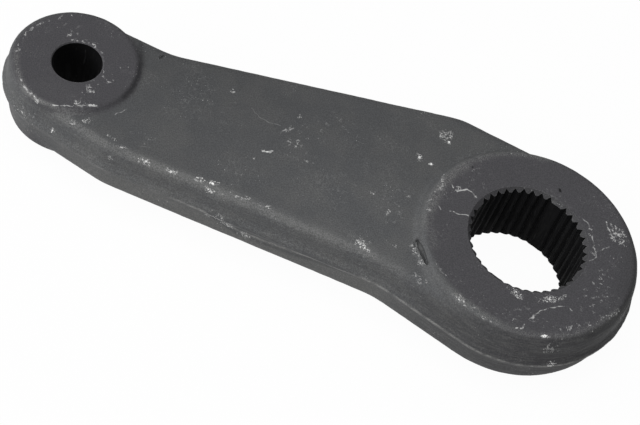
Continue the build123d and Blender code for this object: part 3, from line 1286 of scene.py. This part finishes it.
PATCHES = (
    # Rim and face of the small eye
    WornPatch(153.6, 18.2, 25.2, 2.8, 0.6, -28.0, 0.85),
    WornPatch(144.0, 17.2, 25.3, 3.4, 0.5, 28.0, 0.5),
    WornPatch(137.4, 13.4, 25.3, 2.6, 0.6, 34.0, 0.9),
    WornPatch(137.6, 1.2, 25.4, 2.4, 4.8, 20.0, 0.42),
    WornPatch(139.8, 8.6, 25.4, 3.2, 1.8, 60.0, 0.5),
    WornPatch(141.9, 14.4, 25.4, 0.9, 1.8, 20.0, 0.8),
    WornPatch(154.9, -8.0, 25.4, 1.8, 1.1, 60.0, 0.62),
    WornPatch(146.9, -8.8, 25.4, 2.4, 0.8, 20.0, 0.4),
    WornPatch(161.7, -3.2, 25.4, 0.9, 0.4, 40.0, 0.5),
    WornPatch(136.4, 18.4, 24.3, 2.6, 1.2, 20.0, 0.62),
    WornPatch(141.0, 20.9, 23.5, 3.0, 1.0, 10.0, 0.42),
    WornPatch(156.6, 19.4, 17.2, 2.2, 0.8, -30.0, 0.4),
    WornPatch(145.7, 22.0, 17.1, 0.6, 0.6, 0.0, 1.1),
    WornPatch(152.2, 20.9, 16.6, 2.4, 1.4, -20.0, 0.2),
    # Near top edge of the web
    WornPatch(127.0, 20.9, 24.3, 3.8, 0.8, -2.0, 0.6),
    WornPatch(123.1, 22.6, 24.1, 1.8, 0.9, -8.0, 0.8),
    WornPatch(125.3, 25.1, 21.7, 1.4, 0.6, 0.0, 0.45),
    WornPatch(115.0, 23.8, 23.6, 3.6, 1.0, -8.0, 0.85),
    WornPatch(106.3, 23.6, 23.8, 2.2, 0.9, 0.0, 0.85),
    WornPatch(97.6, 22.6, 24.2, 2.8, 1.1, 0.0, 0.9),
    WornPatch(94.0, 22.4, 24.2, 1.2, 0.5, 0.0, 1.4),
    WornPatch(93.6, 22.2, 24.2, 2.0, 1.3, 30.0, 0.8),
    WornPatch(93.8, 24.5, 23.3, 2.2, 0.8, 0.0, 0.9),
    WornPatch(84.0, 23.0, 24.2, 4.6, 1.0, 0.0, 0.55),
    WornPatch(76.4, 22.9, 24.2, 4.6, 0.9, 0.0, 0.62),
    # Light grey along the web's near top edge: dust and painted highlight.
    WornPatch(84.0, 23.4, 23.8, 46.0, 2.0, 0.0, 0.42, Wear.DUST_AND_HIGHLIGHT),
    # Trimmed flash of the near flank
    WornPatch(90.0, 26.4, 14.0, 4.6, 1.6, 0.0, 0.8),
    WornPatch(85.6, 25.8, 11.8, 3.4, 1.2, 0.0, 0.75),
    WornPatch(80.2, 25.7, 9.8, 2.8, 1.5, 0.0, 0.7),
    # Top of the web
    WornPatch(83.0, 3.9, 24.3, 2.0, 0.5, 8.0, 1.0),
    WornPatch(80.6, -6.6, 24.3, 3.0, 1.5, 60.0, 0.52),
    WornPatch(77.4, -13.4, 24.3, 2.6, 1.8, 0.0, 0.36),
    WornPatch(77.0, -3.3, 24.3, 3.0, 2.2, 0.0, 0.36),
    WornPatch(74.0, -9.5, 24.3, 7.0, 6.0, 0.0, 0.2),
    WornPatch(71.2, 1.2, 24.3, 5.0, 3.5, 0.0, 0.2),
    WornPatch(101.0, -13.5, 24.3, 2.4, 1.6, 0.0, 0.32),
    WornPatch(86.2, 8.2, 24.3, 1.4, 0.8, 0.0, 0.36),
    WornPatch(102.9, 1.0, 24.3, 1.0, 0.3, 20.0, 0.8),
    WornPatch(34.2, -28.6, 24.3, 2.4, 4.0, 10.0, 0.5),
    WornPatch(32.6, -26.4, 24.3, 0.8, 0.7, 0.0, 1.5),
    WornPatch(39.5, -16.4, 24.3, 1.0, 1.8, 20.0, 1.1),
    WornPatch(35.4, -15.6, 24.3, 0.8, 0.7, 0.0, 1.4),
    WornPatch(39.2, -0.9, 24.3, 1.7, 2.2, 0.0, 0.34),
    WornPatch(42.2, 8.0, 24.3, 1.6, 1.4, 0.0, 0.4),
    WornPatch(48.9, 3.6, 24.3, 1.2, 1.0, 0.0, 0.4),
    WornPatch(38.0, 18.4, 24.3, 2.4, 2.2, 0.0, 0.34),
    WornPatch(45.4, 22.9, 24.2, 3.8, 1.6, -20.0, 0.92),
    WornPatch(46.4, 22.2, 24.2, 6.0, 2.6, -20.0, 0.5),
    WornPatch(46.0, 22.6, 24.2, 7.0, 2.4, -20.0, 0.5, Wear.DUST_AND_HIGHLIGHT),
    WornPatch(45.8, 18.8, 24.3, 1.6, 1.2, 0.0, 0.5),
    # Thin scatter of small marks over the flats
    WornPatch(58.0, 6.0, 24.3, 16.0, 9.0, 0.0, 0.11),
    WornPatch(66.0, -16.0, 24.3, 14.0, 7.0, 0.0, 0.12),
    WornPatch(100.0, -4.0, 24.3, 12.0, 9.0, 0.0, 0.1),
    WornPatch(42.0, 6.0, 24.3, 7.0, 12.0, 0.0, 0.15),
    WornPatch(117.0, 16.0, 24.3, 10.0, 5.0, 0.0, 0.12),
    WornPatch(-8.0, 26.0, 26.8, 12.0, 5.5, 0.0, 0.15),
    WornPatch(-24.0, 8.0, 26.8, 6.0, 14.0, 0.0, 0.2),
    WornPatch(18.0, 22.0, 26.8, 7.0, 6.0, 0.0, 0.14),
    WornPatch(20.0, -16.0, 26.8, 5.0, 8.0, 30.0, 0.14),
    WornPatch(154.0, -11.0, 25.4, 8.0, 5.0, -20.0, 0.15),
    WornPatch(148.5, 13.5, 25.4, 9.0, 5.0, 0.0, 0.13, Wear.DUST_AND_HIGHLIGHT),
    WornPatch(140.0, 4.0, 25.4, 5.0, 8.0, 20.0, 0.15),
    # Beside the gouge at the foot of the big eye
    WornPatch(30.4, 17.7, 24.5, 3.4, 1.2, 128.0, 0.72),
    WornPatch(27.9, 20.8, 24.6, 2.0, 1.2, 128.0, 0.6),
    WornPatch(26.0, 26.4, 24.1, 3.4, 1.6, -20.0, 0.36),
    # Face and rims of the big eye
    WornPatch(30.0, -8.0, 26.7, 5.6, 1.6, 104.0, 0.56),
    WornPatch(31.3, 2.8, 26.7, 3.4, 1.2, 90.0, 0.4),
    WornPatch(24.6, -19.0, 26.8, 5.0, 1.0, 128.0, 0.36),
    WornPatch(25.0, -8.2, 26.8, 1.8, 1.0, 110.0, 0.5),
    WornPatch(19.6, -9.2, 26.8, 1.9, 1.0, 110.0, 0.5),
    WornPatch(13.6, 29.0, 26.8, 2.8, 1.5, -34.0, 1.0, Wear.DUST_AND_HIGHLIGHT),
    WornPatch(13.2, 29.4, 26.8, 2.6, 1.4, -28.0, 0.8),
    WornPatch(9.4, 30.4, 26.8, 2.0, 1.0, -20.0, 0.62),
    WornPatch(4.2, 32.3, 26.6, 4.0, 0.8, -8.0, 0.5),
    WornPatch(-2.0, 20.0, 26.8, 3.8, 1.7, -30.0, 0.88),
    WornPatch(-12.0, 17.2, 26.8, 4.2, 1.7, 34.0, 0.9),
    WornPatch(-15.4, 14.2, 26.8, 2.2, 0.8, 42.0, 0.5),
    WornPatch(-13.3, 30.2, 26.8, 1.7, 0.8, 20.0, 1.3),
    WornPatch(-16.6, 31.4, 23.0, 3.4, 1.9, 20.0, 0.6),
    WornPatch(-19.2, 31.6, 16.2, 1.8, 1.0, 20.0, 0.9),
    WornPatch(-25.2, 22.4, 26.8, 2.4, 1.0, 50.0, 0.5),
    WornPatch(-31.4, 13.2, 26.6, 2.6, 0.9, 66.0, 0.62),
    WornPatch(-25.7, -14.8, 26.8, 5.2, 3.0, 142.0, 0.62),
    WornPatch(-17.4, -12.6, 26.8, 1.8, 3.0, 40.0, 0.46),
    WornPatch(-20.3, -5.5, 26.8, 1.0, 2.4, 10.0, 0.5),
)

LINES = (
    # Painted shade in the slot of the gouge, in pits and in the crease at the foot of the small eye
    WornLine(
        (
            (31.0, 14.1, 24.9), (30.0, 15.9, 24.9), (28.8, 17.7, 25.0), (27.5, 19.5, 25.1),
            (25.9, 21.2, 25.6),
        ),
        0.62, 1.0, Wear.PAINTED_SHADE,
    ),
    WornLine(((-4.9, -22.6, 26.9), (-5.1, -22.5, 26.9)), 0.4, 1.9, Wear.PAINTED_SHADE),
    WornLine(((23.0, -18.5, 26.9), (22.9, -18.4, 26.9)), 0.34, 0.8, Wear.PAINTED_SHADE),
    WornLine(
        (
            (126.2, -15.6, 24.3), (126.6, -15.0, 24.3), (126.2, -14.2, 24.3),
        ),
        0.3, 0.9, Wear.PAINTED_SHADE,
    ),
    WornLine(
        (
            (133.9, -16.6, 24.4), (132.0, -13.1, 24.4), (130.6, -9.2, 24.6), (129.4, -4.0, 24.8),
            (129.2, 1.1, 24.8), (130.0, 5.7, 24.6),
        ),
        0.9, 0.42, Wear.PAINTED_SHADE,
    ),
    # Rubbed rim of the small eye's machined face; its light grey line is partly painted highlight
    WornLine(
        (
            (166.0, 4.6, 25.3), (164.5, 8.3, 25.3), (162.3, 11.6, 25.3), (159.8, 14.6, 25.3),
            (157.2, 16.8, 25.2), (154.5, 18.1, 25.1), (151.0, 18.8, 25.1), (147.1, 18.6, 25.3),
        ),
        0.8, 0.8, Wear.DUST_AND_HIGHLIGHT,
    ),
    WornLine(
        (
            (162.3, 11.6, 25.3), (159.8, 14.6, 25.3), (157.2, 16.7, 25.2), (154.5, 18.1, 25.1),
        ),
        0.5, 0.5, Wear.CHIPPED,
    ),
    WornLine(((158.0, 16.2, 25.3), (156.4, 17.2, 25.3), (154.9, 17.8, 25.3)), 0.3, 0.8),
    WornLine(
        (
            (147.4, 18.5, 25.3), (144.3, 17.4, 25.3), (141.2, 15.8, 25.3), (138.1, 13.9, 25.3),
            (136.0, 12.8, 25.3),
        ),
        0.22, 0.8,
    ),
    WornLine(((138.2, 13.9, 25.3), (137.2, 13.3, 25.3), (136.0, 12.7, 25.3)), 0.34, 1.3),
    WornLine(
        (
            (147.1, 18.5, 25.3), (141.2, 15.8, 25.3), (136.0, 12.7, 25.3),
        ),
        0.7, 0.3, Wear.CHIPPED,
    ),
    WornLine(((140.9, 15.0, 25.4), (140.8, 13.4, 25.4), (141.0, 12.0, 25.4)), 0.24, 0.6),
    WornLine(
        (
            (164.2, 9.2, 25.3), (166.3, 3.4, 25.3), (166.4, -3.4, 25.3), (164.0, -9.4, 25.3),
            (159.9, -14.4, 25.3), (154.6, -17.4, 25.3),
        ),
        0.5, 0.42, Wear.CHIPPED,
    ),
    WornLine(
        (
            (153.4, -6.6, 25.4), (150.9, -8.0, 25.4), (148.0, -8.5, 25.4), (145.2, -8.0, 25.4),
            (143.2, -7.0, 25.4),
        ),
        0.4, 0.5, Wear.CHIPPED,
    ),
    # Rubbed rims of the big eye's machined face; their light grey lines are partly painted highlight
    WornLine(
        (
            (29.8, 10.0, 26.8), (31.4, 5.2, 26.8), (31.8, -2.2, 26.8), (30.2, -8.8, 26.8),
            (27.4, -15.1, 26.8), (22.2, -22.9, 26.8), (16.6, -27.6, 26.8), (10.3, -31.2, 26.8),
            (2.0, -32.8, 26.8),
        ),
        1.3, 0.5, Wear.DUST_AND_HIGHLIGHT,
    ),
    WornLine(
        (
            (30.6, 3.0, 26.8), (30.6, -3.0, 26.8), (29.8, -8.0, 26.8), (28.2, -13.0, 26.8),
            (25.4, -18.0, 26.8),
        ),
        1.7, 0.85, Wear.DUST_AND_HIGHLIGHT,
    ),
    WornLine(
        (
            (30.3, 5.0, 26.7), (29.4, 8.8, 26.7), (27.6, 11.8, 26.7), (25.6, 14.9, 26.7),
        ),
        1.4, 0.42, Wear.DUST_AND_HIGHLIGHT,
    ),
    WornLine(
        (
            (15.4, 28.4, 26.8), (12.7, 29.4, 26.8), (10.2, 29.8, 26.8), (6.7, 30.7, 26.8),
            (3.3, 31.5, 26.8), (0.7, 32.0, 26.8),
        ),
        1.1, 0.9, Wear.DUST_AND_HIGHLIGHT,
    ),
    WornLine(
        (
            (30.4, 9.0, 26.8), (31.8, 2.0, 26.8), (31.2, -6.0, 26.8), (28.6, -13.0, 26.8),
        ),
        0.7, 0.34, Wear.CHIPPED,
    ),
    WornLine(
        (
            (16.4, 27.5, 26.8), (11.8, 30.5, 26.8), (6.3, 32.0, 26.8), (-1.9, 32.6, 26.8),
            (-6.8, 32.2, 26.8), (-13.1, 30.3, 26.8), (-20.8, 26.6, 26.8), (-27.5, 19.8, 26.8),
            (-32.1, 12.1, 26.8),
        ),
        1.1, 0.5, Wear.DUST_AND_HIGHLIGHT,
    ),
    WornLine(
        (
            (27.1, -8.8, 26.9), (24.9, -7.0, 26.9), (23.7, -8.4, 26.9), (22.1, -9.6, 26.9),
            (19.8, -8.7, 26.9), (18.6, -7.7, 26.9),
        ),
        0.24, 0.8,
    ),
    WornLine(((25.9, -8.9, 26.9), (24.6, -9.3, 26.9), (24.0, -7.6, 26.9)), 0.24, 0.6),
    WornLine(((24.9, 0.8, 26.9), (21.8, 0.5, 26.9), (19.1, -0.2, 26.9)), 0.22, 0.75),
    WornLine(((29.1, 0.1, 26.9), (27.6, 1.8, 26.9)), 0.2, 0.6),
    WornLine(((24.2, 19.5, 26.9), (22.4, 22.1, 26.9), (19.5, 23.6, 26.9)), 0.2, 0.6),
    # Light line and rolled edge along the near side of the big eye's face
    WornLine(
        (
            (16.4, 27.5, 26.8), (10.6, 28.1, 26.8), (4.3, 28.5, 26.8), (-0.5, 28.8, 26.8),
            (-5.2, 28.7, 26.8),
        ),
        0.6, 0.26, Wear.CHIPPED,
    ),
    WornLine(
        (
            (-16.9, 25.8, 26.8), (-22.4, 22.8, 26.8), (-27.6, 18.1, 26.8), (-31.6, 12.4, 26.6),
        ),
        0.55, 0.55, Wear.CHIPPED,
    ),
    WornLine(((-4.8, 31.6, 26.8), (-6.1, 30.8, 26.8), (-6.9, 29.3, 26.9)), 0.26, 0.95),
    WornLine(
        (
            (-7.4, 27.6, 26.9), (-8.4, 25.2, 26.9), (-9.9, 22.7, 26.9), (-12.5, 20.3, 26.9),
            (-15.6, 17.9, 26.9),
        ),
        0.22, 0.68,
    ),
    WornLine(((-8.2, 26.4, 26.9), (-9.2, 24.6, 26.9)), 0.26, 0.9),
    WornLine(((-15.6, 17.9, 26.9), (-17.8, 17.5, 26.9), (-19.6, 18.4, 26.9)), 0.2, 0.7),
    WornLine(
        (
            (93.4, -9.5, 24.3), (90.6, -7.5, 24.3), (87.7, -6.9, 24.3), (85.0, -6.9, 24.3),
            (83.2, -7.5, 24.3),
        ),
        0.24, 0.42,
    ),
    WornLine(
        (
            (82.1, -4.5, 24.3), (81.2, -6.6, 24.3), (79.6, -7.2, 24.3), (79.0, -8.8, 24.3),
        ),
        0.24, 0.6,
    ),
    WornLine(((84.4, 4.3, 24.3), (83.0, 3.8, 24.3), (81.7, 3.1, 24.3)), 0.34, 0.8),
    WornLine(
        (
            (-12.6, -15.9, 26.9), (-15.4, -15.3, 26.9), (-17.9, -12.9, 26.9), (-18.9, -9.6, 26.9),
        ),
        0.24, 0.7,
    ),
    WornLine(((-18.4, -11.0, 26.9), (-21.6, -3.5, 26.9), (-19.8, -1.4, 26.9)), 0.24, 0.6),
    WornLine(((-20.6, -5.0, 26.9), (-24.4, -9.6, 26.9)), 0.2, 0.6),
    WornLine(
        (
            (-21.3, -18.0, 26.9), (-23.6, -14.6, 26.9), (-27.0, -15.6, 26.9), (-24.2, -12.6, 26.9),
        ),
        0.24, 0.8,
    ),
    WornLine(
        (
            (-24.4, -18.0, 26.9), (-25.4, -15.4, 26.9), (-28.4, -13.6, 26.9), (-27.2, -11.4, 26.9),
        ),
        0.24, 0.8,
    ),
    WornLine(((-22.4, -15.6, 26.9), (-25.0, -13.2, 26.9), (-26.0, -17.4, 26.9)), 0.22, 0.7),
    WornLine(((129.9, 12.3, 24.3), (128.6, 10.6, 24.3), (127.4, 8.9, 24.3)), 0.2, 0.55),
    WornLine(((119.0, 19.9, 24.3), (115.6, 19.0, 24.3)), 0.2, 0.4),
)


def main() -> None:
    """Builds the arm and its studio, and reports each piece."""
    logging.basicConfig(level=logging.INFO, format="%(name)s: %(message)s")
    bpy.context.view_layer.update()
    bpy.context.scene.view_settings.view_transform = "Standard"
    studio = Studio()
    studio.build()
    LOG.info("studio: floor, surround, lamps and camera")
    arm = ArmForging()
    piece = arm.build()
    WearPainter(PATCHES, LINES).paint(piece)
    LOG.info("wear: %d patches and %d lines", len(PATCHES), len(LINES))
    arm.dress(PhosphatedForging(), BoreShadeCoat())
    LOG.info("forged arm: %d faces", len(piece.data.polygons))


if __name__ == "__main__":
    main()
